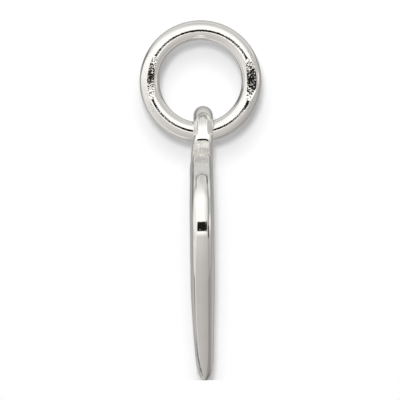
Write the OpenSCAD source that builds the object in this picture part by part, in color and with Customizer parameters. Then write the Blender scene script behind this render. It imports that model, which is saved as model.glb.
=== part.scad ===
// Heart pendant: a puffed silver heart with a fixed loop, hanging on a round jump ring.
// Millimetres. +Z is up, the heart's front looks along -Y, and the origin is the inside
// top of the jump ring, where a chain passes through along X.

/* [Jump ring] */
// Clear inside diameter of the ring
ring_inner_d = 4.1; // [3.8:0.1:5]
// Diameter of the round wire
ring_wire_d = 1.0; // [0.8:0.05:1.1]

/* [Loop] */
// Hole through the loop on top of the heart
loop_hole_d = 1.86; // [1.7:0.02:2.2]
// Thickness of the loop's bar, from its hole outwards
loop_bar = 0.82; // [0.6:0.02:0.9]
// Width of the loop from front to back
loop_width = 0.97; // [0.92:0.01:1.06]
// Running gap between the loop and the wire that it hangs on
loop_gap = 0.03; // [0.02:0.01:0.05]
// How far the loop sits behind the middle of the heart, flush with its back
loop_set_back = 0.08; // [0:0.01:0.1]
// Half the width of the neck that carries the loop, seen from the front
neck_half_width = 1.35; // [1:0.05:1.5]

/* [Heart] */
// Radius of the two round lobes, and half the side of the square between them
lobe_r = 3.65; // [3.2:0.05:5]
// Thickness of the flat wall round the edge
wall_thickness = 0.65; // [0.5:0.05:0.8]
// Most that each domed face rises above that wall
dome_rise = 0.3; // [0.2:0.02:0.5]
// Distance from the edge in which the dome gains two thirds of its rise
dome_reach = 0.8; // [0.6:0.1:1.2]
// Radius of the point, seen from the front
point_r = 0.15; // [0.1:0.05:0.4]
// Height above the point in which its thinning dies away
point_reach = 0.63; // [0.4:0.01:1]
// How far the very point leans to the back
point_lean = 0.06; // [0:0.01:0.1]

/* [Hidden] */

ring_mean_r = (ring_inner_d + ring_wire_d) / 2;
ring_centre_z = -ring_inner_d / 2;

loop_hole_r = loop_hole_d / 2;
loop_mean_r = loop_hole_r + loop_bar / 2;
loop_outer_r = loop_hole_r + loop_bar;
loop_centre_z = -ring_inner_d + loop_gap - loop_hole_r;

// The outline is a square on its corner with a half disc on each upper side.
// Its own origin is the sharp corner at the bottom.
notch_z = 2 * sqrt(2) * lobe_r;
lobe_centre = [lobe_r, 3 * lobe_r] / sqrt(2);
side_corner = [2 * lobe_r, 2 * lobe_r] / sqrt(2);
// Centre of the largest circle that fits in the outline
middle = [0, notch_z / (1 + 1 / sqrt(2))];
middle_r = notch_z - middle.y;
point_z = loop_centre_z - loop_outer_r - notch_z;

// Steps of the outline and rings of each face, from the wall to near the middle
side_steps = 9;
lobe_step = 10;
point_step = 15;
face_rings = [1, 0.985, 0.965, 0.935, 0.89, 0.82, 0.72, 0.58, 0.4, 0.2];
// Rounding where the face meets the wall, away from the point and at it
edge_round = 0.06;
point_round = 0.9;
// Share of the wall and of the whole thickness that is gone at the point
point_wall_loss = 0.85;
point_body_loss = 0.35;
// How softly the two slopes meet over the point
ridge_power = 1.5;

function turned(r, a) = r * [cos(a), sin(a)];
function mixed(p, q, t) = p * (1 - t) + q * t;

// Right half of the outline, from the point up to the notch
point_centre = [0, point_r * sqrt(2)];
side_start = point_centre + turned(point_r, -45);
half_outline = concat(
    [for (a = [-90 : point_step : -45]) point_centre + turned(point_r, a)],
    [for (i = [1 : side_steps]) mixed(side_start, side_corner, i / side_steps)],
    [for (a = [-45 + lobe_step : lobe_step : 135]) lobe_centre + turned(lobe_r, a)]);
half_count = len(half_outline);
outline = concat(
    half_outline,
    [for (i = [half_count - 2 : -1 : 1]) [-half_outline[i].x, half_outline[i].y]]);
steps = len(outline);
rings = len(face_rings);

// A ring of a face: the outline drawn in towards the middle, rounder as it shrinks
function round_point(p) = middle + (p - middle) / norm(p - middle) * middle_r;
function ring_point(i, s) = middle + s * (mixed(round_point(outline[i]), outline[i], s * s) - middle);

// Distance from the edge, counted shorter where two sides are near
function near_edge(p) =
    let (x = abs(p.x))
    x + p.y > notch_z
        ? lobe_r - norm([x, p.y] - lobe_centre)
        : min((p.y - x) / sqrt(2), norm([x, p.y - notch_z]));
function soft_edge(p) =
    let (near = max(near_edge(p), 0.001), far = (p.y + abs(p.x)) / sqrt(2))
    pow(pow(near, -ridge_power) + pow(far, -ridge_power), -1 / ridge_power);

// Half the thickness at a place on a face
function fade(p) = exp(-p.y / point_reach);
function half_wall(p) = wall_thickness / 2 * (1 - point_wall_loss * fade(p));
function half_body(p) =
    (wall_thickness / 2 + dome_rise * (1 - exp(-soft_edge(p) / dome_reach)))
    * (1 - point_body_loss * fade(p));
function rounding(p) =
    let (u = min(1, max(near_edge(p), 0) / (edge_round + point_round * fade(p))))
    u * (2 - u);
function half_thickness(p, s) =
    s == 1 ? half_wall(p) : mixed(half_wall(p), half_body(p), rounding(p));
function lean(p) = point_lean * sqrt(fade(p));
function placed(p, s, side) = [p.x, lean(p) + side * half_thickness(p, s), p.y];

function face_points(side) = concat(
    [for (s = face_rings) for (i = [0 : steps - 1]) placed(ring_point(i, s), s, side)],
    [placed(middle, 0, side)]);

// Triangles of one face, from its first point number, turned over for the back
function turned_over(t, over) = over ? [t[0], t[2], t[1]] : t;
function face_triangles(first, over) = concat(
    [for (r = [0 : rings - 2]) for (i = [0 : steps - 1]) for (half = [0, 1])
        let (j = (i + 1) % steps, a = first + r * steps, b = a + steps)
        turned_over(half == 0 ? [a + i, b + i, a + j] : [a + j, b + i, b + j], over)],
    [for (i = [0 : steps - 1])
        let (j = (i + 1) % steps, a = first + (rings - 1) * steps)
        turned_over([a + i, first + rings * steps, a + j], over)]);
back_first = rings * steps + 1;
wall_triangles = [for (i = [0 : steps - 1]) for (half = [0, 1])
    let (j = (i + 1) % steps)
    half == 0 ? [i, j, back_first + i] : [j, back_first + j, back_first + i]];

module puffed_heart() {
    translate([0, 0, point_z])
        polyhedron(
            points = concat(face_points(-1), face_points(1)),
            faces = concat(
                face_triangles(0, false),
                face_triangles(back_first, true),
                wall_triangles));
}

// A bar with round inner and outer sides, turned about the loop's axis
module loop() {
    flat_half = (loop_width - loop_bar) / 2;
    translate([0, loop_set_back, loop_centre_z])
        rotate([90, 0, 0])
            rotate_extrude($fn = 96) {
                for (side = [-1, 1])
                    translate([loop_mean_r, side * flat_half])
                        circle(d = loop_bar, $fn = 48);
                translate([loop_hole_r, -flat_half])
                    square([loop_bar, 2 * flat_half]);
            }
}

// The neck: the loop thickens downwards and runs into both faces of the heart. From the
// side it widens from inside the loop, neck_rise above the loop's axis, to neck_mid_half
// at the notch and neck_end_half where it ends in the faces, neck_drop below the notch.
neck_rise = 0.7;
neck_drop = 1.65;
neck_mid_half = 0.58;
neck_end_half = 0.6;
// Depth of its edges inside the loop's bar
neck_inset = 0.02;
loop_bottom_z = loop_centre_z - loop_outer_r;

module neck_side_view() {
    polygon([
        [loop_set_back - loop_width / 2 + neck_inset, loop_centre_z + neck_rise],
        [-neck_mid_half, loop_bottom_z],
        [-neck_end_half, loop_bottom_z - neck_drop],
        [neck_end_half, loop_bottom_z - neck_drop],
        [neck_mid_half, loop_bottom_z],
        [loop_set_back + loop_width / 2 - neck_inset, loop_centre_z + neck_rise]]);
}

module neck_front_view() {
    difference() {
        union() {
            translate([0, loop_centre_z])
                circle(r = loop_outer_r - neck_inset, $fn = 96);
            translate([0, loop_bottom_z])
                circle(r = neck_half_width, $fn = 64);
        }
        translate([0, loop_centre_z])
            circle(r = loop_mean_r, $fn = 96);
    }
}

module neck() {
    intersection() {
        translate([-loop_outer_r, 0, 0])
            rotate([90, 0, 90])
                linear_extrude(2 * loop_outer_r)
                    neck_side_view();
        translate([0, loop_outer_r, 0])
            rotate([90, 0, 0])
                linear_extrude(2 * loop_outer_r)
                    neck_front_view();
    }
}

module jump_ring() {
    color("silver")
        translate([0, 0, ring_centre_z])
            rotate([0, 90, 0])
                rotate_extrude($fn = 128)
                    translate([ring_mean_r, 0])
                        circle(d = ring_wire_d, $fn = 48);
}

module heart_drop() {
    color("silver")
        union() {
            puffed_heart();
            loop();
            neck();
        }
}

jump_ring();
heart_drop();
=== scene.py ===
# %% [markdown]
# # A polished silver heart pendant
#
# The pendant is a puffed heart that hangs by its own loop from a round jump ring. Both are mirror
# polished, so nearly all that a camera sees of them is their surroundings. This lesson builds the
# two pieces, then the small studio that they reflect, and last the finish of the metal.
#
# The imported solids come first. They give the pieces their size and place, and the bodies that they
# move with.

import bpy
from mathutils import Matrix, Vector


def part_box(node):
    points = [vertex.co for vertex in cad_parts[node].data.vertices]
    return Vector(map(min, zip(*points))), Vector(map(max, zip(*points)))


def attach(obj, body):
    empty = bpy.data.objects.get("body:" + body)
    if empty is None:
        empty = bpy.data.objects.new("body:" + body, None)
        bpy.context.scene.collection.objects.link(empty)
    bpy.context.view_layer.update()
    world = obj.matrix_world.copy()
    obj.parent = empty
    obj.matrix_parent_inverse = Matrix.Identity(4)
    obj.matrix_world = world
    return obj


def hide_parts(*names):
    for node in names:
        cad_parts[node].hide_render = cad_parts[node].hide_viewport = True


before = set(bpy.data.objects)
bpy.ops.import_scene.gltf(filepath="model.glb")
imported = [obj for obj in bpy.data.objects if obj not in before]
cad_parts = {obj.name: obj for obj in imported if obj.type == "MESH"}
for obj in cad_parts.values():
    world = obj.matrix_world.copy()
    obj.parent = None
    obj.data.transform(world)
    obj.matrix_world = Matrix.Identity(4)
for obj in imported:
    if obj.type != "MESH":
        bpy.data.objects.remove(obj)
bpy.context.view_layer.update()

# %% [markdown]
# Some of Blender's tools have small fixed tolerances, such as a tenth of a millimetre when vertices
# are merged. A jeweller's parts in metres would fall below them. So each piece is modelled with one
# unit to the millimetre, and shrunk to metres when it is finished.

# %% Work in millimetres
from math import atan2, cos, degrees, exp, hypot, pi, radians, sin, sqrt

import bpy
from mathutils import Matrix, Vector

MM = 0.001
TINY = 0.0005
print("one unit is a millimetre, and", TINY, "mm counts as touching")

# %% [markdown]
# ## The camera
#
# The photograph looks at the heart's edge, along its width, so the jump ring shows face on. Such
# pictures are made with a long lens from well away, which keeps both sides of a small thing at the
# same scale. The pendant hangs a little askew in the picture, which the camera takes up as a roll.

# %% Camera at the photograph's angle
PHOTO_SIZE = 400
PX_PER_MM = 20.0
RING_CENTRE_PX = (200.05, 80.76)
LEAN = radians(0.61)
DISTANCE = 300 * MM
SENSOR = 36.0

ring_low, ring_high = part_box("jump_ring")
ring_centre = (ring_low + ring_high) / 2
off_x = (PHOTO_SIZE - 1) / 2 - RING_CENTRE_PX[0]
off_y = (PHOTO_SIZE - 1) / 2 - RING_CENTRE_PX[1]
across = (off_x * cos(LEAN) - off_y * sin(LEAN)) / PX_PER_MM * MM
down = (off_y * cos(LEAN) + off_x * sin(LEAN)) / PX_PER_MM * MM

camera_data = bpy.data.cameras.new("photo_camera")
camera = bpy.data.objects.new("photo_camera", camera_data)
bpy.context.scene.collection.objects.link(camera)
bpy.context.scene.camera = camera
camera_data.sensor_width = SENSOR
camera_data.lens = SENSOR * DISTANCE / (PHOTO_SIZE / PX_PER_MM * MM)
camera_data.clip_start = 10 * MM
camera_data.clip_end = 5.0
level = Vector((-1, 0, 0)).to_track_quat("-Z", "Y").to_matrix().to_4x4()
place = Matrix.Translation((DISTANCE, across, ring_centre.z - down))
camera.matrix_world = place @ level @ Matrix.Rotation(-LEAN, 4, "Z")
print("lens", round(camera_data.lens), "mm, looking at z =", round(camera.location.z / MM, 2), "mm")

# %% [markdown]
# ## Starting a piece
#
# A piece starts as a primitive that is added at its size and place. Operators act on all that is
# selected, so each helper first clears the selection. Then `pick` selects vertices, edges or faces
# by a test of their place or normal, as a click or a box does by hand.


# %% Add a primitive, and pick parts of a mesh
def only(piece):
    """Leaves one object selected and active, as an operator expects."""
    if bpy.context.object and bpy.context.object.mode != "OBJECT":
        bpy.ops.object.mode_set(mode="OBJECT")
    bpy.ops.object.select_all(action="DESELECT")
    piece.select_set(True)
    bpy.context.view_layer.objects.active = piece


def start(primitive, name, **sizes):
    """Adds a primitive, names it and bakes its turn and place into its mesh."""
    if bpy.context.object and bpy.context.object.mode != "OBJECT":
        bpy.ops.object.mode_set(mode="OBJECT")
    bpy.ops.object.select_all(action="DESELECT")
    primitive(**sizes)
    piece = bpy.context.object
    piece.name = piece.data.name = name
    bpy.ops.object.transform_apply(location=True, rotation=True, scale=True)
    return piece


def pick(piece, kind, test):
    """Selects what passes a test: a vertex's place, an edge's two ends, or a face's centre and
    normal. It leaves the piece in edit mode."""
    only(piece)
    bpy.ops.object.mode_set(mode="EDIT")
    bpy.ops.mesh.select_mode(type=kind)
    bpy.ops.mesh.select_all(action="DESELECT")
    bpy.ops.object.mode_set(mode="OBJECT")
    mesh = piece.data
    if kind == "VERT":
        for vertex in mesh.vertices:
            vertex.select = test(vertex.co)
    if kind == "EDGE":
        for edge in mesh.edges:
            edge.select = test(*[mesh.vertices[i].co for i in edge.vertices])
    if kind == "FACE":
        for face in mesh.polygons:
            face.select = test(face.center, face.normal)
    bpy.ops.object.mode_set(mode="EDIT")


# %% [markdown]
# ## The jump ring
#
# The ring is round wire, bent to a circle and soldered shut. It starts as a torus with enough steps
# for a clean mirror. Its radii are read from the box of its solid.

# %% A ring of round wire
RING_R = (ring_high.z - ring_low.z) / 2 / MM
WIRE_R = (ring_high.x - ring_low.x) / 2 / MM
RING_MEAN_R = RING_R - WIRE_R
RING_Z = ring_centre.z / MM

ring = start(
    bpy.ops.mesh.primitive_torus_add,
    "soldered_ring",
    major_segments=256,
    minor_segments=72,
    major_radius=RING_MEAN_R,
    minor_radius=WIRE_R,
    location=(0, 0, RING_Z),
    rotation=(0, pi / 2, 0),
)
print("ring: mean radius", round(RING_MEAN_R, 3), "wire radius", round(WIRE_R, 3))

# %% [markdown]
# A worn crest or a dent is easily said as how far the surface moves at each place. It could be
# pushed vertex by vertex, but a modifier does it in one step: `push` keeps the moves as the weights
# of a vertex group, and a Displace modifier moves each vertex by its weight. Weights can't be below
# 0, so moves forwards and backwards take turns.


# %% Apply a modifier, and push a surface by a function
def apply(piece, kind, **settings):
    """Adds a modifier with its settings and applies it."""
    only(piece)
    modifier = piece.modifiers.new("step", kind)
    for name, value in settings.items():
        setattr(modifier, name, value)
    bpy.ops.object.modifier_apply(modifier=modifier.name)


def push(piece, axis, amount):
    """Moves every vertex along an axis, or its normal, by what a function gives for it."""
    moves = [amount(vertex.co) for vertex in piece.data.vertices]
    for sign in (1, -1):
        most = max(sign * move for move in moves)
        if most <= 0:
            continue
        group = piece.vertex_groups.new(name="push")
        for i, move in enumerate(moves):
            if sign * move > 0:
                group.add([i], sign * move / most, "REPLACE")
        apply(piece, "DISPLACE", direction=axis, mid_level=0, strength=sign * most, vertex_group="push")
        piece.vertex_groups.remove(piece.vertex_groups["push"])


# %% [markdown]
# Pliers held the ring at its two sides while it was closed. They left a flat with dents on each
# side. Elsewhere, wear has taken the crest of the wire down a little. Each flat is finely divided,
# so that its dents are in the mesh and not only in the finish.

# %% Flats from the pliers, and a worn crest
PLIER_MARKS = [
    {"at": 1.0, "span": 26.0, "depth": 0.070, "tilt": -0.036, "outer": 2.84, "dents": 0.75},
    {"at": 175.0, "span": 27.0, "depth": 0.075, "tilt": -0.030, "outer": 2.68, "dents": 1.0},
]
OUTER_SLOPE = 0.45
DENTED_HALF = 0.28
WORN_DEPTH = 0.0098
WORN_WIDTH = 0.12
WORN_FROM = 0.6


def polar(co):
    """Distance from the ring's centre and angle, from the camera's right hand, anticlockwise."""
    return hypot(co.y, co.z - RING_Z), degrees(atan2(co.z - RING_Z, co.y))


def along(angle, mark):
    """Place along a plier mark: 0 at its middle, 1 and -1 at its ends."""
    return ((angle - mark["at"] + 180) % 360 - 180) / mark["span"]


def in_mark(co):
    """How deep the dents are on a plier mark, falling to 0 round it."""
    r, angle = polar(co)
    share = 0
    for mark in PLIER_MARKS:
        aside = (r - RING_MEAN_R) / DENTED_HALF
        inside = 1 - max(along(angle, mark) ** 2, aside * aside)
        share = max(share, min(1, 2 * inside) * mark["dents"])
    return share if co.x > 0 else 0


def worn(co):
    """The crest of the wire is worn a little flat, on both sides of the ring."""
    if abs(co.x) < WORN_FROM * WIRE_R:
        return 0
    depth = WORN_DEPTH * exp(-(((polar(co)[0] - RING_MEAN_R) / WORN_WIDTH) ** 2))
    return -depth if co.x > 0 else depth


def pressed(co):
    """How far the pliers pressed the wire back, on the side that faces the camera."""
    r, angle = polar(co)
    move = 0
    for mark in PLIER_MARKS:
        t = along(angle, mark)
        if abs(t) < 1 and co.x > 0:
            plane = WIRE_R - mark["depth"] * (1 - t * t) + mark["tilt"] * (r - RING_MEAN_R)
            plane -= OUTER_SLOPE * max(r - mark["outer"], 0)
            move = min(move, plane - co.x)
    return move


pick(ring, "FACE", lambda centre, normal: in_mark(centre) > 0)
bpy.ops.mesh.subdivide(number_cuts=2)
bpy.ops.object.mode_set(mode="OBJECT")
push(ring, "X", worn)
push(ring, "X", pressed)
print("ring:", len(ring.data.polygons), "faces,", len(PLIER_MARKS), "plier marks")

# %% [markdown]
# The jaws' rough surface is printed in the flats as dents of two sizes. Blender's noise textures
# give a Displace modifier such unevenness, and a vertex group keeps it inside the flats. Bending
# also left the ring slightly twisted, as a saddle is.

# %% Dents in the flats, and the twist
DENTS = (("CLOUDS", 0.050, 0.0078), ("VORONOI", 0.12, 0.0064))
SADDLE = 0.007


def bowed(co):
    """The twist leaves the lowest wire in place, where the loop runs on it."""
    return SADDLE * (co.y**2 - (co.z - RING_Z) ** 2 + RING_MEAN_R**2)


group = ring.vertex_groups.new(name="dents")
for vertex in ring.data.vertices:
    group.add([vertex.index], in_mark(vertex.co), "REPLACE")
for noise, size, depth in DENTS:
    texture = bpy.data.textures.new("dents", noise)
    texture.noise_scale = size
    apply(ring, "DISPLACE", texture=texture, strength=depth, mid_level=0.5, vertex_group="dents")
ring.vertex_groups.remove(ring.vertex_groups["dents"])
push(ring, "X", bowed)
print("ring: twisted by", round(2 * SADDLE * RING_MEAN_R**2, 3), "mm")

# %% [markdown]
# The wire's two ends meet in a slanting soldered joint, at the camera's lower right. The solder
# stands up in a thin ridge, which fades out at both ends.

# %% The soldered joint
SEAM = ((2.72, -0.62), (2.33, -1.35))
SEAM_WIDTH = 0.040
SEAM_HEIGHT = 0.014
SEAM_REACH = (-0.7, 1.7)


def soldered(co):
    """The ridge's height: a bell across the seam, and a flatter bell along it."""
    (y1, z1), (y2, z2) = SEAM
    line = Vector((y2 - y1, z2 - z1)).normalized()
    offset = Vector((co.y - y1, co.z - RING_Z - z1))
    over = offset.dot(line) / hypot(y2 - y1, z2 - z1)
    aside = offset.x * line.y - offset.y * line.x
    if abs(aside) > 4 * SEAM_WIDTH or not SEAM_REACH[0] < over < SEAM_REACH[1]:
        return 0
    return SEAM_HEIGHT * exp(-((aside / SEAM_WIDTH) ** 2)) * exp(-((2 * over - 1) ** 4) / 8)


push(ring, "NORMAL", soldered)
print("solder ridge:", SEAM_HEIGHT, "mm high")

# %% [markdown]
# ## The heart's outline
#
# Seen from the front, the heart is a square that stands on its corner, with half a disc on each of
# its upper sides. It could be drawn as a curve, but a half circle, a straight line and a mirror
# give exactly this outline, with its vertices where the later steps need them.

# %% Sizes of the heart
LOBE_R = 3.65
WALL = 0.56
POINT_R = 0.15
LOOP_R = 1.75

heart_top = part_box("heart_drop")[1].z / MM
LOOP_Z = heart_top - LOOP_R
NOTCH_Z = LOOP_Z - LOOP_R
POINT_Z = NOTCH_Z - 2 * sqrt(2) * LOBE_R
LOBE_X = LOBE_R / sqrt(2)
LOBE_Z = NOTCH_Z - LOBE_X
CORNER_X = sqrt(2) * LOBE_R
CORNER_Z = NOTCH_Z - CORNER_X
MIDDLE_Z = POINT_Z + (NOTCH_Z - POINT_Z) / (1 + 1 / sqrt(2))
print("notch", round(NOTCH_Z, 3), "point", round(POINT_Z, 3), "loop centre", round(LOOP_Z, 3))

# %% Half a circle, a straight side, and their mirror image
heart = start(
    bpy.ops.mesh.primitive_circle_add,
    "puffed_heart",
    vertices=192,
    radius=LOBE_R,
    location=(LOBE_X, -WALL / 2, LOBE_Z),
    rotation=(pi / 2, 0, 0),
)
pick(heart, "VERT", lambda co: (co.x - LOBE_X) + (co.z - LOBE_Z) < -TINY)
bpy.ops.mesh.delete(type="VERT")
pick(heart, "VERT", lambda co: hypot(co.x - CORNER_X, co.z - CORNER_Z) < TINY)
bpy.ops.mesh.extrude_region_move(
    TRANSFORM_OT_translate={"value": (-CORNER_X, 0, POINT_Z - CORNER_Z)}
)
apply(heart, "MIRROR", use_axis=(True, False, False), merge_threshold=TINY)
pick(heart, "EDGE", lambda a, b: True)
bpy.ops.mesh.edge_face_add()
print("outline:", len(heart.data.vertices), "vertices")

# %% Round the point, then divide the straight sides
pick(heart, "VERT", lambda co: co.z < POINT_Z + TINY)
bpy.ops.mesh.bevel(offset=POINT_R, segments=10, affect="VERTICES")
pick(heart, "EDGE", lambda a, b: (a - b).length > 1.0)
bpy.ops.mesh.subdivide(number_cuts=63)
bpy.ops.object.mode_set(mode="OBJECT")
print("outline:", len(heart.data.vertices), "vertices,", len(heart.data.polygons), "faces")

# %% [markdown]
# ## The edge wall and the faces
#
# The outline is drawn back through the thickness of the wall. The wall's two rims are rounded a
# little, because polishing takes off a sharp corner first. Then each flat face is filled with rings
# that shrink towards the middle, which gives it vertices that can be raised.

# %% Draw the outline back and soften its rims
RIM_ROUND = 0.03
WALL_STEPS = (0.045, 0.1175, 0.1175, 0.1175, 0.1175, 0.045)

pick(heart, "FACE", lambda centre, normal: True)
for step in WALL_STEPS:
    bpy.ops.mesh.extrude_region_move(TRANSFORM_OT_translate={"value": (0, step, 0)})
bpy.ops.mesh.select_all(action="SELECT")
bpy.ops.mesh.normals_make_consistent(inside=False)
for side in (-1, 1):
    rim_y = side * WALL / 2
    pick(heart, "EDGE", lambda a, b: abs(a.y - rim_y) < TINY and abs(b.y - rim_y) < TINY)
    bpy.ops.mesh.bevel(offset=RIM_ROUND, segments=4, affect="EDGES")
bpy.ops.object.mode_set(mode="OBJECT")
print("slab:", len(heart.data.polygons), "faces")

# %% Fill both faces with rings
INSETS = (0.017, 0.018, 0.014, 0.014, 0.020, 0.026)
FACE_RINGS = 34
SMALLEST = 0.02
CLOSER_OUTSIDE = 1.5

shrink = [1 - (1 - SMALLEST) * (i / FACE_RINGS) ** CLOSER_OUTSIDE for i in range(FACE_RINGS + 1)]
for side in (-1, 1):
    centre = (0, side * WALL / 2, MIDDLE_Z)
    pick(heart, "FACE", lambda at, normal: normal.y * side > 0.99 and abs(at.y - centre[1]) < TINY)
    for step in INSETS:
        bpy.ops.mesh.inset(thickness=step, use_even_offset=True)
    for before, after in zip(shrink, shrink[1:]):
        ratio = after / before
        bpy.ops.mesh.extrude_region_move(TRANSFORM_OT_translate={"value": (0, 0, 0)})
        bpy.ops.transform.resize(value=(ratio, 1, ratio), center_override=centre)
bpy.ops.object.mode_set(mode="OBJECT")
print("rings:", len(heart.data.polygons), "faces")

# %% [markdown]
# ## Puffing the heart
#
# Such hearts are puffed: each face rises from the edge and then levels out. From the edge inwards
# come a narrow facet, a soft break, a strip that still rises, and the nearly flat middle. How high
# the face stands at a place depends on its distance from the edge alone.

# %% How far a face stands over the wall's rim
FACET = 0.085
FACET_SLOPE = 1.2
BREAK_RISE = 0.03
BREAK_REACH = 0.05
STRIP_RISE = 0.160
STRIP_REACH = 0.27
DOME_RISE = 0.043
DOME_REACH = 1.6


def smooth(value, start, end):
    """Runs smoothly from 0 to 1 as the value goes from start to end."""
    t = min(max((value - start) / (end - start), 0), 1)
    return t * t * (3 - 2 * t)


def from_edge(x, z):
    """Distance from the nearest edge, x and z measured from the sharp point."""
    notch = NOTCH_Z - POINT_Z
    if x + z > notch:
        return LOBE_R - hypot(x - LOBE_X, z - (LOBE_Z - POINT_Z))
    return min((z - x) / sqrt(2), hypot(x, z - notch))


def rise(inwards):
    past = max(inwards - FACET, 0)
    facet = FACET_SLOPE * min(inwards, FACET)
    strip = BREAK_RISE * (1 - exp(-past / BREAK_REACH)) + STRIP_RISE * (1 - exp(-past / STRIP_REACH))
    return facet + strip + DOME_RISE * (1 - exp(-inwards / DOME_REACH))


print("the face rises to", round(rise(LOBE_R), 3), "mm over the rim")

# %% [markdown]
# The thickness also changes along the heart, as the photograph shows it edge on. The wall is widest
# in the lower half, and the whole heart thins towards the point, where it leans back. The lobes'
# tops are a little plumper at the wall, and under the loop the heart swells into a neck.

# %% How thick the heart is at a place
TAPER_FROM, TAPER_TO, FACE_TAPER_TO = 5.0, 1.3, 2.4
TAPER_LOSS = 0.12
FACE_LOSS = 0.13
POINT_LOSS = 0.86
POINT_REACH = 0.8
POINT_GAIN = 1.3
POINT_GAIN_REACH = 0.5
WALL_GAIN = 0.05
WALL_GAIN_FROM_TO = (8.5, 3.4)
WALL_GAIN_REACH = 0.3
TOP_WALL = 0.35
TOP_RISE = 0.238
TOP_FROM_TO = (9.75, 10.45)
TOP_THIN = 0.022
TOP_THIN_FROM_TO = (8.8, 10.3)
NECK_HALF = 0.570
NECK_REACH = 1.05
RIDGE_POWER = 1.5


def half_thickness(co):
    """Half the thickness. Over the point the two sides' slopes meet in a soft ridge."""
    x, z = abs(co.x), max(co.z - POINT_Z, TINY)
    inwards = max(from_edge(x, z), 0.001)
    other_side = (z + x) / sqrt(2)
    soft = (inwards**-RIDGE_POWER + other_side**-RIDGE_POWER) ** (-1 / RIDGE_POWER)
    u = min(1, max(from_edge(x, z), 0) / RIM_ROUND)
    rounding = u * (2 - u)

    wide = WALL / 2 + WALL_GAIN * smooth(z, *WALL_GAIN_FROM_TO)
    taper = TAPER_LOSS * smooth(z, TAPER_FROM, TAPER_TO)
    wall = wide * (1 - taper - POINT_LOSS * exp(-z / POINT_REACH))
    face = rise(soft) - (wide - WALL / 2) * (1 - exp(-soft / WALL_GAIN_REACH))
    face *= 1 - FACE_LOSS * smooth(z, TAPER_FROM, FACE_TAPER_TO)
    half = wall + face * (1 + POINT_GAIN * exp(-z / POINT_GAIN_REACH)) * rounding

    plump = TOP_WALL + TOP_RISE * (1 - exp(-soft / STRIP_REACH)) * rounding
    top = smooth(z, *TOP_FROM_TO)
    half += (plump - half) * top - TOP_THIN * smooth(z, *TOP_THIN_FROM_TO) * (1 - top)
    neck = exp(-((hypot(co.x, co.z - NOTCH_Z) / NECK_REACH) ** 2))
    return half + (NECK_HALF - half) * neck


print("half thickness in the middle:", round(half_thickness(Vector((0, 0, MIDDLE_Z))), 3), "mm")

# %% Puff it, and lean its point back
POINT_LEAN = 0.075
LEAN_REACH = 2.3
WALL_BACK = 0.02
WALL_FORWARD = 0.065
WALL_SHIFT_FROM_TO = (9, 5)
WALL_SHIFT_REACH = 0.06


def lean(co):
    """How far the point leans back. The wall is a little off the middle of the faces."""
    x, z = abs(co.x), max(co.z - POINT_Z, 0)
    body = POINT_LEAN * exp(-((z / LEAN_REACH) ** 2))
    wall = WALL_BACK - WALL_FORWARD * smooth(z, *WALL_SHIFT_FROM_TO)
    return body + wall * exp(-max(from_edge(x, z), 0) / WALL_SHIFT_REACH)


def puffed(co):
    return lean(co) + co.y / (WALL / 2) * half_thickness(co) - co.y


push(heart, "Y", puffed)
thick = max(v.co.y for v in heart.data.vertices) - min(v.co.y for v in heart.data.vertices)
print("puffed to", round(thick, 3), "mm")

# %% [markdown]
# The wall is flat where it faces the camera, but the top of each lobe was polished rounder.

# %% Round the wall over the lobes' tops
CROWN = 0.075
CROWN_FROM = 0.38
CROWN_SPAN = 0.30
CROWN_REACH = 0.4


def crown(co):
    """How far the wall's rims fall back, as a vector towards the lobe's centre."""
    x, z = abs(co.x), co.z - POINT_Z
    if x + z < NOTCH_Z - POINT_Z:
        return Vector((0, 0, 0))
    out = Vector((x - LOBE_X, 0, co.z - LOBE_Z))
    height = min(max((out.z / LOBE_R - CROWN_FROM) / CROWN_SPAN, 0), 1)
    edge = exp(-max(from_edge(x, z), 0) / CROWN_REACH)
    back = CROWN * height * edge * min(1, (co.y / (WALL / 2)) ** 2)
    out = -out.normalized() * back
    return Vector((out.x if co.x > 0 else -out.x, 0, out.z))


push(heart, "X", lambda co: crown(co).x)
push(heart, "Z", lambda co: crown(co).z)
print("top of the lobes:", round(max(v.co.z for v in heart.data.vertices), 3), "mm")

# %% [markdown]
# ## The loop
#
# The loop is cast with the heart. Its bar is round outside and flatter inside. A torus has a round
# bar all over, so here half of a circle is squeezed, and the section is spun about the loop's axis.

# %% Spin the bar's section into a loop
LOOP_HOLE_R = 0.93
LOOP_WIDTH = 0.97
LOOP_BACK = 0.11
LOOP_WORN_R = 1.71
HALF_BAR = LOOP_WIDTH / 2
BAR_R = LOOP_WORN_R - HALF_BAR

loop = start(
    bpy.ops.mesh.primitive_circle_add,
    "loop",
    vertices=64,
    radius=HALF_BAR,
    location=(BAR_R, LOOP_BACK, LOOP_Z),
)
pick(loop, "VERT", lambda co: co.x < BAR_R - TINY)
bpy.ops.transform.resize(
    value=((BAR_R - LOOP_HOLE_R) / HALF_BAR, 1, 1), center_override=(BAR_R, LOOP_BACK, LOOP_Z)
)
bpy.ops.mesh.select_all(action="SELECT")
bpy.ops.mesh.spin(steps=320, angle=2 * pi, center=(0, LOOP_BACK, LOOP_Z), axis=(0, 1, 0))
bpy.ops.mesh.select_all(action="SELECT")
bpy.ops.mesh.remove_doubles(threshold=TINY)
bpy.ops.mesh.normals_make_consistent(inside=False)
bpy.ops.object.mode_set(mode="OBJECT")
print("bar section:", [round(v, 3) for v in loop.dimensions])

# %% [markdown]
# Where the edge wall runs up over the loop, the loop's outer side is polished flat like the wall,
# with a facet on either hand. The flat ends in an arch below the loop's round top. Below the ring
# the loop widens front to back until it is as thick as the neck, and sinks into it.

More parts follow.
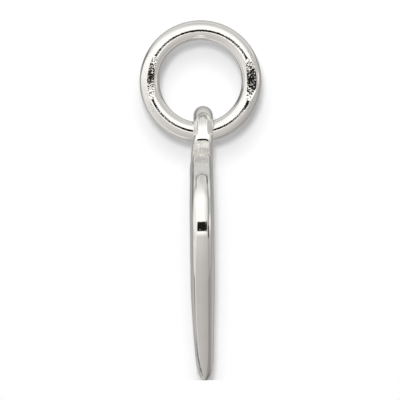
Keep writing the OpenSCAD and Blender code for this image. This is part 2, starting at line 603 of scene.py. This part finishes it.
# %% Polish its outer side flat, and widen its foot
FLAT_R = 1.60
FLAT_HALF = 0.243
FLAT_HALF_LOW = 0.43
FLAT_WIDENS = (0.35, 0.08)
FLAT_SOFT = 0.15
ARCH_START = 0.04
ARCH_BEND_BACK, ARCH_BEND_FRONT = 1.9, 0.6
SLOPE_ABOVE, SLOPE_BELOW = 0.09, 0.20
ROUND_ABOVE = (20, 47)
ROUND_BELOW = (-30, -50)
SUNK = 0.12
ROUND_SPARE = 0.01
SUNK_FROM_TO = (-45, -75)
WIDENS_FROM_TO = (0.5, -0.9)
NECK_INSET = 0.02
CENTRED = 0.7


def polished(co):
    """How far the outer side is taken down, as a vector towards the loop's axis."""
    out = Vector((co.x, 0, co.z - LOOP_Z))
    r, aside, height = out.length, co.y - LOOP_BACK, co.z - LOOP_Z
    if r < BAR_R:
        return Vector((0, 0, 0))
    angle = degrees(atan2(height, abs(co.x)))
    bend = ARCH_BEND_BACK if aside > 0 else ARCH_BEND_FRONT
    over = height + bend * max(abs(aside) - ARCH_START, 0) ** 2
    soft = sqrt(over * over + FLAT_SOFT**2) - FLAT_SOFT
    limit = FLAT_R - (SLOPE_ABOVE if over > 0 else SLOPE_BELOW) * soft
    round_again = max(smooth(angle, *ROUND_ABOVE), smooth(angle, *ROUND_BELOW))
    limit += (LOOP_WORN_R + ROUND_SPARE - limit) * round_again
    flat_half = FLAT_HALF + (FLAT_HALF_LOW - FLAT_HALF) * smooth(height, *FLAT_WIDENS)
    limit -= max(abs(aside) - flat_half, 0)
    sunk = SUNK * smooth(angle, *SUNK_FROM_TO)
    return out.normalized() * (sunk - max(r - limit, 0))


def widened(co):
    """The bar's width grows to the neck's, and its middle moves towards the heart's."""
    t = smooth(co.z - LOOP_Z, *WIDENS_FROM_TO)
    width = LOOP_WIDTH / 2 * (1 - t) + (NECK_HALF - NECK_INSET) * t
    return (co.y - LOOP_BACK) * width / (LOOP_WIDTH / 2) + LOOP_BACK * (1 - CENTRED * t) - co.y


push(loop, "X", lambda co: polished(co).x)
push(loop, "Z", lambda co: polished(co).z)
push(loop, "Y", widened)
print("loop:", len(loop.data.polygons), "faces")

# %% [markdown]
# Heart and loop are one casting, so a union joins them into one closed mesh. Then both pieces are
# shrunk to metres. Each takes the place of its solid and rides on that solid's body, so the heart
# swings and the ring stays.

# %% One casting
apply(heart, "BOOLEAN", object=loop, operation="UNION", solver="EXACT")
bpy.data.objects.remove(loop)
print("casting:", len(heart.data.polygons), "faces")


# %% Shrink both pieces to metres and hang them on their bodies
SHARP_ANGLE = radians(40)


def finished(piece, node, body):
    only(piece)
    piece.scale = (MM, MM, MM)
    bpy.ops.object.transform_apply(location=False, rotation=False, scale=True)
    bpy.ops.object.shade_smooth_by_angle(angle=SHARP_ANGLE)
    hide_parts(node)
    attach(piece, body)
    print(piece.name, "for", node, "on", body, [round(v / MM, 2) for v in piece.dimensions], "mm")


finished(ring, "jump_ring", "ring")
finished(heart, "heart_drop", "heart")

# %% [markdown]
# ## Maths in shaders
#
# A finish is a sum of patterns. Written as nodes and links it takes pages, so a small class wraps a
# socket and lets Python's own signs add the Math nodes: `1 - mask * 0.5` makes two of them.


# %% A socket that can be added and multiplied
class Socket:
    def __init__(self, nodes, socket):
        self.nodes, self.socket = nodes, socket

    def math(self, operation, *values):
        return self.nodes.add("ShaderNodeMath", {"operation": operation}, dict(enumerate(values)))

    def __add__(self, other):
        return self.math("ADD", self, other)

    def __radd__(self, other):
        return self.math("ADD", other, self)

    def __sub__(self, other):
        return self.math("SUBTRACT", self, other)

    def __rsub__(self, other):
        return self.math("SUBTRACT", other, self)

    def __mul__(self, other):
        return self.math("MULTIPLY", self, other)

    def __rmul__(self, other):
        return self.math("MULTIPLY", other, self)

    def __truediv__(self, other):
        return self.math("DIVIDE", self, other)

    def __pow__(self, other):
        return self.math("POWER", self, other)

    def size(self):
        return self.math("ABSOLUTE", self)

    def at_least(self, other):
        return self.math("MAXIMUM", self, other)

    def ramp(self, start, end, low=0.0, high=1.0, kind="SMOOTHSTEP"):
        """Runs from low to high as the value goes from start to end, smoothly or straight."""
        ends = {"From Min": start, "From Max": end, "To Min": low, "To Max": high}
        return self.nodes.add("ShaderNodeMapRange", {"interpolation_type": kind}, {"Value": self, **ends})

    def near(self, middle, half):
        """1 where the value is at the middle, 0 from half a width away."""
        return (self - middle).size().ramp(half, 0.0)


# %% [markdown]
# Every other node comes from `add`. It sets a node's own settings first, because they can change
# its sockets, and then fills the sockets with values or links. Colours go through a Mix node, as a
# Math node would turn them grey.


# %% The nodes of a material
class Nodes:
    def __init__(self, tree):
        self.tree = tree
        tree.nodes.clear()

    def add(self, kind, settings=None, inputs=None, output=0):
        node = self.tree.nodes.new(kind)
        for name, value in (settings or {}).items():
            if name == "stops":
                stops = node.color_ramp.elements
                while len(stops) < len(value):
                    stops.new(1.0)
                for stop, (at, grey) in zip(stops, value):
                    stop.position, stop.color = at, (grey, grey, grey, 1)
            else:
                setattr(node, name, value)
        for name, value in (inputs or {}).items():
            if isinstance(value, Socket):
                self.tree.links.new(value.socket, node.inputs[name])
            else:
                node.inputs[name].default_value = value
        if not node.outputs:
            return None
        return Socket(self, node.outputs[output])

    def split(self, vector):
        """The three numbers of a vector."""
        node = self.add("ShaderNodeSeparateXYZ", inputs={0: vector}).socket.node
        return [Socket(self, output) for output in node.outputs]

    def mix(self, factor, first, second, blend="MIX"):
        """Mixes two colours. Sockets 6 and 7 are the Mix node's colours, as is output 2."""
        settings = {"data_type": "RGBA", "blend_type": blend}
        return self.add("ShaderNodeMix", settings, {0: factor, 6: first, 7: second}, output=2)


# %% [markdown]
# ## The studio
#
# Silver shows its room. Reading the photograph's reflections from top to bottom gives that room:
# a broad soft light in front and above, a darker ceiling, a grey backdrop behind, a warm grey table
# below, and the dark lens in the middle. It could be built from cards and lamps, but all of it can
# be painted on the world's sphere by direction, which gives mirrors without noise.
#
# A direction is three numbers from -1 to 1. `front` is towards the camera, and `side` is towards
# its right. `tone` gives a grey that follows one of them through a few stops.

# %% Directions in the room
world = bpy.data.worlds.new("light_tent")
bpy.context.scene.world = world
world.use_nodes = True
sky = Nodes(world.node_tree)
front, side, up = sky.split(sky.add("ShaderNodeTexCoord", output="Generated"))


def tone(value, *stops):
    """A grey that follows a value from -1 to 1 through the given stops."""
    places = [((at + 1) / 2, grey) for at, grey in stops]
    return sky.add("ShaderNodeValToRGB", {"stops": places}, {"Fac": value * 0.5 + 0.5})


print("the room's nodes so far:", len(world.node_tree.nodes))

# %% [markdown]
# The half of the room in front of the pendant changes with height. The half behind it shows in the
# bent sides of the ring, the loop and the rims, in three bands: middle, left and right. Each has
# its tones above and below the table's level, from straight behind to the pendant's own plane.

# %% Tones in front and behind
room_front = tone(
    up, (-1, 0.545), (-0.87, 0.56), (-0.5, 0.64), (0.3, 0.66), (0.94, 0.68), (0.985, 0.61), (1, 0.57)
)
middle_above = tone(
    front, (-1, 0.34), (-0.75, 0.52), (-0.57, 0.63), (-0.34, 0.69), (-0.16, 0.78), (-0.13, 0.78),
    (-0.10, 0.47), (-0.05, 0.50), (0, 0.57), (1, 0.6)
)
middle_below = tone(front, (-1, 0.42), (-0.8, 0.46), (-0.56, 0.38), (-0.3, 0.45), (0, 0.52), (1, 0.6))
left_above = tone(
    front, (-1, 0.33), (-0.9, 0.31), (-0.74, 0.31), (-0.64, 0.17), (-0.34, 0.16), (-0.22, 0.62),
    (-0.1, 0.76), (0, 0.82)
)
left_level = tone(
    front, (-1, 0.45), (-0.85, 0.38), (-0.65, 0.34), (-0.45, 0.50), (-0.25, 0.82), (-0.1, 0.92),
    (0, 0.95)
)
left_below = tone(
    front, (-1, 0.64), (-0.78, 0.63), (-0.70, 0.48), (-0.62, 0.28), (-0.54, 0.42), (-0.46, 0.74),
    (-0.3, 0.78), (0, 0.74)
)
right_above = tone(front, (-1, 0.33), (-0.85, 0.31), (-0.6, 0.33), (-0.45, 0.38), (-0.2, 0.50), (0, 0.58))
right_below = tone(
    front, (-1, 0.48), (-0.75, 0.48), (-0.65, 0.42), (-0.5, 0.35), (-0.3, 0.34), (-0.1, 0.40), (0, 0.50)
)
print("the room's nodes so far:", len(world.node_tree.nodes))

# %% Blend the bands, and make the left brighter than the right
LEFT_GAIN, LEFT_GAIN_LOST_BELOW = 0.36, 0.55
RIGHT_LOSS, RIGHT_LOSS_BELOW = 0.17, 0.12

rising = up.ramp(-0.2, 0.2)
room_middle = sky.mix(rising, middle_below, middle_above)
room_left = sky.mix(up.ramp(-0.35, -0.05), left_below, left_level)
room_left = sky.mix(up.ramp(0.08, 0.22), room_left, left_above)
room_left = sky.mix(up.ramp(0.42, 0.60), room_left, middle_above)
room_right = sky.mix(rising, right_below, right_above)
room_right = sky.mix(up.ramp(0.32, 0.48), room_right, middle_above)
room_back = sky.mix(side.ramp(0.10, 0.30), room_middle, room_right)
room_back = sky.mix(side.ramp(-0.10, -0.30), room_back, room_left)

to_right = side.ramp(0.2, 0.95)
to_left = side.ramp(-0.2, -0.95)
downwards = up.ramp(0.0, -0.5)
balance = 1.0 + LEFT_GAIN * to_left * (1 - LEFT_GAIN_LOST_BELOW * downwards)
balance = balance - RIGHT_LOSS * to_right - RIGHT_LOSS_BELOW * to_right * downwards
room_front = sky.mix(1.0, room_front, balance, "MULTIPLY")
room = sky.mix(front.ramp(-0.06, 0.02), room_back, room_front)
print("the room's nodes so far:", len(world.node_tree.nodes))

# %% [markdown]
# The heart's broad faces look straight to the sides, at a wall that a lamp lights from above, so
# seen from the front they run from light to dark. The soft box is a large rounded panel above the
# camera, and the lens is a dark disc that is tipped up a little.

# %% Side walls, soft box and lens
BROAD_SIDES = (0.972, 0.994)
SOFT_BOX = 1.12
SOFT_BOX_UP, SOFT_BOX_HALF_UP = 0.30, 0.50
SOFT_BOX_SIDE, SOFT_BOX_HALF_SIDE = -0.10, 0.66
LENS_HALF_ANGLE = radians(7.4)
LENS_TILT = radians(1.2)
LENS_DARK = (0.012, 0.012, 0.011, 1)

wall_light = (front * 1.1 + up * 1.6).ramp(-0.22, 0.20, 0.50, 1.02)
room = sky.mix(side.size().ramp(*BROAD_SIDES), room, wall_light)

over_box = (up - SOFT_BOX_UP) / SOFT_BOX_HALF_UP
beside_box = (side - SOFT_BOX_SIDE) / SOFT_BOX_HALF_SIDE
from_box = (over_box * over_box + beside_box * beside_box) ** 0.5
box_edge = up.ramp(-0.1, 0.6, 1.14, 1.42)
in_box = from_box.ramp(0.88, box_edge, 1.0, 0.0) * front.ramp(-0.05, 0.12)
room = sky.mix(in_box, room, (SOFT_BOX, SOFT_BOX, SOFT_BOX, 1))

towards_lens = front * cos(LENS_TILT) + up * sin(LENS_TILT)
in_lens = towards_lens.ramp(cos(LENS_HALF_ANGLE * 1.03), cos(LENS_HALF_ANGLE * 0.97))
room = sky.mix(in_lens, room, LENS_DARK)
print("lens:", round(2 * degrees(LENS_HALF_ANGLE), 1), "degrees across, as the silver sees it")

# %% [markdown]
# The table's warmth tints all that comes from below. The camera itself sees plain white paper, and
# the paper gets an even light, so both are told apart from the silver by the kind of ray.

# %% Warmth, and what the camera and the paper see
WARM_BELOW = (1.0, 0.965, 0.94, 1)
WARM_ABOVE = (1.0, 0.99, 0.97, 1)
AMBIENT = 0.42
WHITE = (1.0, 1.0, 1.0, 1.0)

warmth = sky.mix(up.ramp(-0.9, 0.4), WARM_BELOW, WARM_ABOVE)
room = sky.mix(1.0, room, warmth, "MULTIPLY")
from_camera = sky.add("ShaderNodeLightPath", output="Is Camera Ray")
from_paper = sky.add("ShaderNodeLightPath", output="Is Diffuse Ray")
shown = sky.mix(from_paper, room, (AMBIENT, AMBIENT, AMBIENT, 1))
shown = sky.mix(from_camera, shown, WHITE)
background = sky.add("ShaderNodeBackground", inputs={"Color": shown, "Strength": 1.0})
sky.add("ShaderNodeOutputWorld", inputs={"Surface": background})
print("the whole room:", len(world.node_tree.nodes), "nodes")

# %% [markdown]
# ## Paper, floor and light
#
# Behind the pendant stands a white paper, close enough to take its soft shadow, and far enough for
# the heart to swing clear of it. The paper ends just below the pendant. It shows from the front
# alone, so that it hides nothing from behind. A pale floor lies further down. The silver's
# reflections are the world's business, so paper and floor stay out of them.

# %% White paper behind the pendant, and a pale floor
PAPER_X = -15.2 * MM
PAPER_DROP = 0.45 * MM
PAPER_REACH = 40 * MM
FLOOR_Z = -24 * MM
FLOOR_REACH = 100 * MM
DARKER_FIBRE = (0.895, 0.895, 0.90, 1)
PALER_FIBRE = (0.915, 0.915, 0.915, 1)


def paper(name, one_sided, fade_from, fade_to):
    """White matt paper that thins out to nothing round its edge."""
    material = bpy.data.materials.new(name)
    material.use_nodes = True
    nodes = Nodes(material.node_tree)
    place = nodes.add("ShaderNodeTexCoord", output="Object")
    fibres = nodes.add("ShaderNodeTexNoise", inputs={"Vector": place, "Scale": 3000.0, "Detail": 4.0})
    tint = nodes.mix(fibres, DARKER_FIBRE, PALER_FIBRE)
    finish = {"Base Color": tint, "Roughness": 1.0, "Specular IOR Level": 0.0}
    matt = nodes.add("ShaderNodeBsdfPrincipled", inputs=finish)
    clear = nodes.add("ShaderNodeBsdfTransparent")
    reach = nodes.add("ShaderNodeVectorMath", {"operation": "LENGTH"}, {0: place}, output="Value")
    hidden = reach.ramp(fade_from, fade_to)
    if one_sided:
        hidden = hidden.at_least(nodes.add("ShaderNodeNewGeometry", output="Backfacing"))
    shader = nodes.add("ShaderNodeMixShader", inputs={0: hidden, 1: matt, 2: clear})
    nodes.add("ShaderNodeOutputMaterial", inputs={"Surface": shader})
    return material


lowest = min(v.co.z for v in heart.data.vertices)
card = start(
    bpy.ops.mesh.primitive_plane_add,
    "paper",
    size=2 * PAPER_REACH,
    location=(PAPER_X, 0, lowest - PAPER_DROP + PAPER_REACH),
    rotation=(0, pi / 2, 0),
)
card.data.materials.append(paper("matt_paper", True, PAPER_REACH * 0.6, PAPER_REACH * 0.95))
floor = start(
    bpy.ops.mesh.primitive_circle_add,
    "floor",
    vertices=128,
    radius=FLOOR_REACH,
    fill_type="NGON",
    location=(0, 0, FLOOR_Z),
)
floor.data.materials.append(paper("pale_floor", False, FLOOR_REACH * 0.5, FLOOR_REACH * 0.97))
for stage_piece in (card, floor):
    stage_piece.visible_glossy = False
    stage_piece.visible_diffuse = False
print("paper ends at z =", round((lowest - PAPER_DROP) / MM, 2), "mm")

# %% [markdown]
# The shadow in the photograph has a firm core and a wide soft part, both lower than the wire that
# throws them. So two round lights stand beside the lens: a small one just above it, and a large one
# higher up. They are as far away as the camera, so their shadow keeps its place behind each wire
# all over the picture, which a sun's wouldn't. The floor is lit from straight above.

# %% Two soft lights beside the lens, and one overhead
SOFT_LIGHTS = [
    {"name": "small_light", "power": 0.412, "aside": -1.9, "above": 7.0, "size": 7.5},
    {"name": "large_light", "power": 0.265, "aside": -1.5, "above": 21.3, "size": 28.0},
]
TOP_LIGHT = 2.3
TOP_LIGHT_ANGLE = radians(8)


def shine(name, kind, energy, place):
    """Adds a light that shines along its own -Z, and stays out of the silver."""
    light_data = bpy.data.lights.new(name, kind)
    light_data.energy = energy
    light = bpy.data.objects.new(name, light_data)
    bpy.context.scene.collection.objects.link(light)
    light.matrix_world = place
    light.visible_glossy = False
    light.visible_camera = False
    return light_data


for lamp in SOFT_LIGHTS:
    offset = Vector((0, lamp["aside"], lamp["above"])) * MM
    disc = shine(lamp["name"], "AREA", lamp["power"], Matrix.Translation(camera.location + offset) @ level)
    disc.shape = "DISK"
    disc.size = lamp["size"] * MM
overhead = shine("top_light", "SUN", TOP_LIGHT, Matrix.Identity(4))
overhead.angle = TOP_LIGHT_ANGLE
print("lights:", [light.name for light in bpy.data.lights])

# %% [markdown]
# The photograph's white is paper white, and its greys are plain, so no film look bends them.

# %% Plain colours
bpy.context.scene.view_settings.view_transform = "Standard"
bpy.context.scene.view_settings.look = "None"
print("view:", bpy.context.scene.view_settings.view_transform)


# %% [markdown]
# ## The silver
#
# Polished silver is nearly white and mirrors everything, so what makes it look real is small: fine
# hairlines from the last polishing wheel, a very slight orange peel and a few pits. Where the wheel
# can't reach, between the loop and the lobes, the grain of the casting is left. Heights are summed
# in millimetres and feed one Bump node. One dark colour is painted in on top: lines and bands of
# painted dark reflection and shade on the heart's narrow side and loop, dark specks at the point,
# on the tip and in the ring's plier dents, and a streaky darkening of the cast grain.

# %% Patterns in millimetres
CLEAN = (0.955, 0.945, 0.925, 1)
DULLED = (0.900, 0.880, 0.840, 1)
# The dark colour that is painted in for dark reflections, shade and specks.
DARK_PAINT = (0.12, 0.115, 0.11, 1)


def place_in_mm(nodes):
    """The place on the piece in millimetres, as a vector and as three numbers."""
    place = nodes.add("ShaderNodeTexCoord", output="Object")
    place = nodes.add("ShaderNodeVectorMath", {"operation": "SCALE"}, {0: place, "Scale": 1 / MM})
    return place, nodes.split(place)


def grain(nodes, place, per_mm, detail=2.0, stretch=(1, 1, 1)):
    """Noise round 0, finer along the axes with a large stretch."""
    place = nodes.add("ShaderNodeMapping", inputs={"Vector": place, "Scale": stretch})
    inputs = {"Vector": place, "Scale": per_mm, "Detail": detail}
    return nodes.add("ShaderNodeTexNoise", inputs=inputs) - 0.5


# %% Polished silver
HAIRLINES_ALONG = 0.00035
HAIRLINES_ACROSS = 0.00018
PIT_DEPTH = 0.0012
CAST_FINE, CAST_COARSE = 0.011, 0.024
POLISHED_ROUGHNESS = 0.03


def silver(name, local_finish, peel):
    """Polished silver with an orange peel of a given height. The function for the piece says where
    dark is painted in and where the cast grain is, and adds a ripple of its own."""
    material = bpy.data.materials.new(name)
    material.use_nodes = True
    nodes = Nodes(material.node_tree)
    place, (x, y, z) = place_in_mm(nodes)
    painted_dark, cast, ripple = local_finish(nodes, place, x, y, z)

    hairlines = grain(nodes, place, 2.0, 3.0, (1, 14, 1)) * HAIRLINES_ALONG
    hairlines = hairlines + grain(nodes, place, 3.0, 2.0, (9, 1, 1.5)) * HAIRLINES_ACROSS
    uneven = grain(nodes, place, 7.0, 2.0) * peel + ripple
    pits = nodes.add("ShaderNodeTexVoronoi", inputs={"Vector": place, "Scale": 5.0}, output="Distance")
    pits = pits.ramp(0.0, 0.10, -PIT_DEPTH, 0.0)
    rough_cast = grain(nodes, place, 11.0, 3.0) * CAST_FINE + grain(nodes, place, 5.0, 1.0) * CAST_COARSE
    height = hairlines + uneven + pits + rough_cast * cast
    bump = nodes.add("ShaderNodeBump", inputs={"Strength": 1.0, "Distance": MM, "Height": height})

    cloud = grain(nodes, place, 0.9, 3.0)
    colour = nodes.mix((cloud + 0.35).ramp(0.2, 0.8) * 0.6, CLEAN, DULLED)
    # The painted dark reflections, shade and specks go into the colour here.
    colour = nodes.mix(painted_dark, colour, DARK_PAINT)
    rough = POLISHED_ROUGHNESS + (cloud + 0.5) * 0.03 + cast * 0.08 + painted_dark * 0.25
    shader = nodes.add(
        "ShaderNodeBsdfPrincipled",
        inputs={"Base Color": colour, "Metallic": 1.0, "Roughness": rough, "Normal": bump},
    )
    nodes.add("ShaderNodeOutputMaterial", inputs={"Surface": shader})
    print(name, "has", len(material.node_tree.nodes), "nodes")
    return material


# %% [markdown]
# ## Painted dark reflections and shade on the heart
#
# A painted dark reflection line runs round the top of the wall's flat, which ends in an arch, and
# painted shade lies thinly over the back half of the wall. Short painted dark lines mark a foot of
# the arch, and the corner beside the place that mirrors the lens. Heights are millimetres from the
# chain, and so below 0.

# %% Painted dark reflections and shade on the edge wall
ARCH_Y, ARCH_Z, ARCH_R = 0.012, -6.98, 0.272
ARCH_LINE_HALF = 0.028
ARCH_STARTS = (-7.75, -7.0)
CORNER_LINES = [
    {"y": 0.262, "half": 0.048, "starts": (-7.3, -7.05), "ends": (-6.75, -6.85)},
    {"y": 0.31, "half": 0.045, "starts": (-9.95, -9.75), "ends": (-9.20, -9.32)},
]
# Bands of painted shade over the back half of the wall.
PAINTED_SHADE_BANDS = [
    {"y": (-0.20, 0.34), "most": 0.19, "starts": (-17.3, -17.2), "ends": (-9.3, -9.9)},
    {"y": (0.05, 0.32), "most": 0.42, "starts": (-9.9, -9.3), "ends": (-7.2, -7.7)},
]
WALL_EDGE = 0.33
MASK_SOFT = 0.04


def on_side(y, half):
    """1 on the narrow side of the heart that shows in the photograph, 0 on its broad faces."""
    return y.size().ramp(half + MASK_SOFT, half)


def between(z, starts, ends):
    """Fades a mark in over one stretch of height and out over another."""
    return z.ramp(*starts) * z.ramp(*ends)


# Painted dark reflection lines at the arch and at two corners, and bands of painted shade.
def wall_painted_dark(y, z, uneven):
    over = (z - ARCH_Z).at_least(0.0)
    aside = y - ARCH_Y
    reach = (aside * aside + over * over) ** 0.5 + uneven * 0.02
    painted_dark = reach.near(ARCH_R, ARCH_LINE_HALF) * z.ramp(*ARCH_STARTS) * (0.78 + uneven * 1.6)
    for line in CORNER_LINES:
        dark = (y + uneven * 0.01).near(line["y"], line["half"])
        painted_dark = painted_dark + dark * between(z, line["starts"], line["ends"]) * 0.9
    for shade_band in PAINTED_SHADE_BANDS:
        thin = y.ramp(*shade_band["y"], 0.0, shade_band["most"]) * between(z, shade_band["starts"], shade_band["ends"])
        painted_dark = painted_dark + thin * on_side(y, WALL_EDGE)
    return painted_dark


# %% [markdown]
# On the loop, painted dark reflection lines run along the two creases beside its flat, and a streaky
# painted shade lies towards the loop's top. The streaks are noise that is stretched along the height.

# %% Painted dark lines and shade on the loop
LOOP_FLAT_Y = LOOP_BACK - 0.03
LOOP_LINE_HALF = 0.026
LOOP_LINES_START, LOOP_LINES_END = (-4.80, -4.40), (-3.98, -4.12)
# Where the streaky painted shade lies towards the loop's top.
LOOP_SHADE_START, LOOP_SHADE_END = (-4.50, -3.95), (-3.50, -3.70)
LOOP_SHADE_MOST = 0.40
LOOP_SHADE_EDGE = (0.25, 0.20)


# Painted dark reflection lines along the creases, and streaky painted shade towards the top.
def loop_painted_dark(y, z, uneven, streaks):
    across = (y - LOOP_FLAT_Y).size()
    lines = (across + uneven * 0.01).near(FLAT_HALF + 0.01, LOOP_LINE_HALF)
    lines = lines * between(z, LOOP_LINES_START, LOOP_LINES_END)
    shade_band = between(z, LOOP_SHADE_START, LOOP_SHADE_END) * LOOP_SHADE_MOST * across.ramp(*LOOP_SHADE_EDGE)
    return lines * 0.85 + shade_band * (1 + streaks * 1.8)


print("loop's creases:", round(2 * FLAT_HALF, 2), "mm apart")


# %% [markdown]
# At the point, dark specks are painted along both rims, and the very tip is painted dark. A rim's
# distance from the middle grows with its height over the tip, first fast and then slowly.

# %% Dark specks at the point
POINT_LINE_HALF = 0.05
FRONT_RIM = ((0.3, 1.3, -0.06, -0.285), (1.3, 2.6, 0.0, -0.10))
FRONT_STARTS, FRONT_ENDS = (0.2, 0.4), (2.8, 1.5)
BACK_RIM = (0.1, 0.75, 0.12, 0.45)
BACK_ENDS = (1.25, 0.8)
BACK_DEPTH = 0.25
TIP_HEIGHT = 0.12
TIP_REACH = 0.09


# Dark specks painted along the point's two rims.
def point_painted_dark(x, y, height, uneven):
    front_rim = height.ramp(*FRONT_RIM[0], "LINEAR") + height.ramp(*FRONT_RIM[1], "LINEAR")
    at_front = (y - front_rim + uneven * 0.05).near(0.0, POINT_LINE_HALF)
    at_front = at_front * between(height, FRONT_STARTS, FRONT_ENDS)
    back_rim = height.ramp(*BACK_RIM, "LINEAR")
    at_back = (y - back_rim + uneven * 0.06).near(0.0, POINT_LINE_HALF) * height.ramp(*BACK_ENDS)
    at_back = at_back * (height - x.size()).near(0.0, BACK_DEPTH)
    return (at_front + at_back) * (0.8 + uneven * 4.0)


# %% [markdown]
# The marks are drawn by height and by distance from the middle, so they would show on the broad
# faces as well. A mask keeps them to the outer side of the loop and the wall, and to the point. The
# cast grain has its place between the loop's flat and the wall's, on the narrow side alone.

# %% The heart's finish
OUTER_SIDE = (0.9, 1.2)
POINT_AREA = (1.9, 1.6)
CAST_STARTS, CAST_ENDS = (-6.80, -6.62), (-5.02, -5.10)
CAST_Y, CAST_HALF = 0.05, 0.40


def heart_finish(nodes, place, x, y, z):
    uneven = grain(nodes, place, 9.0, 2.0)
    streaks = grain(nodes, place, 6.0, 2.0, (1, 3, 0.25))
    height = z - POINT_Z
    outside = x.size().ramp(*OUTER_SIDE).at_least(height.ramp(*POINT_AREA))
    tip = (x.size() + (height - TIP_HEIGHT).size()).near(0.0, TIP_REACH)
    cast = between(z, CAST_STARTS, CAST_ENDS) * outside * on_side(y - CAST_Y, CAST_HALF)

    # The painted dark reflections, shade and specks of wall, loop and point.
    painted_dark = wall_painted_dark(y, z, uneven) + loop_painted_dark(y, z, uneven, streaks)
    painted_dark = painted_dark + point_painted_dark(x, y, height, uneven)
    # The very tip is painted dark, and the cast grain patch is darkened a little in streaks.
    painted_dark = painted_dark * outside + tip * 0.8 + cast * (0.08 + streaks * 0.25)
    return painted_dark, cast, 0.0


heart.data.materials.append(silver("heart_silver", heart_finish, 0.0004))

# %% [markdown]
# ## The ring's finish
#
# On the ring, dark specks are painted only in the dents of the pliers. The crest of the wire was
# brushed by hand, so it ripples more than the rest, which makes the edges of its reflections ragged.

# %% The ring's finish
RIPPLE = 0.0030
CREST_FROM = (0.40, 0.46)
MORE_TO_THE_SIDES = (0.6, 2.0, 0.5, 1.3)
LESS_IN_THE_DENTS = (2.35, 2.15, 0.3, 1.0)
DENTED_FROM = (2.2, 2.4)


def ring_finish(nodes, place, x, y, z):
    specks = grain(nodes, place, 14.0, 2.0).ramp(0.12, 0.25)
    sides = y.size()
    crest = x.ramp(*CREST_FROM)
    share = crest * sides.ramp(*MORE_TO_THE_SIDES) * sides.ramp(*LESS_IN_THE_DENTS)
    # Dark specks painted in the plier dents.
    painted_dark = specks * sides.ramp(*DENTED_FROM) * crest * 0.6
    return painted_dark, 0.0, grain(nodes, place, 15.0, 2.0) * share * RIPPLE


ring.data.materials.append(silver("ring_silver", ring_finish, 0.0009))
